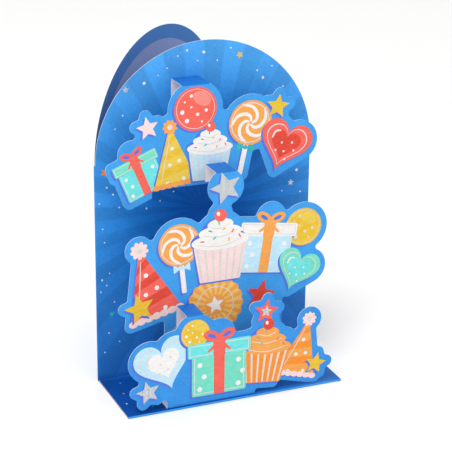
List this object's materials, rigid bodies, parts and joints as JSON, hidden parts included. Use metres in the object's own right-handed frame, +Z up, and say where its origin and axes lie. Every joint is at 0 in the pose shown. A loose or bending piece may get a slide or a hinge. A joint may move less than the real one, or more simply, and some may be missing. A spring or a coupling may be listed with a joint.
{
  "type": "pop-up greeting card",
  "caption": "Free-standing pop-up greeting card: an arch-topped folded card with a fold-out base and die-cut scenery panels that stand in steps before it.",
  "frame": {"origin": "on the table, at the middle of the whole card's box", "axes": "+Z up, +X along the front leaf away from the spine fold, -Y out of the printed front towards the viewer"},
  "size_m": [0.146, 0.1424, 0.2185],
  "materials": {
    "printed_card": "blue printed card stock, fine tooth, cream cut edges",
    "tier_card": "sky blue printed card stock, unprinted back"
  },
  "bodies": {
    "root": {"card_sheet": "printed_card", "top_tier": "tier_card", "middle_tier": "tier_card", "front_tier": "tier_card"}
  },
  "joints": []
}
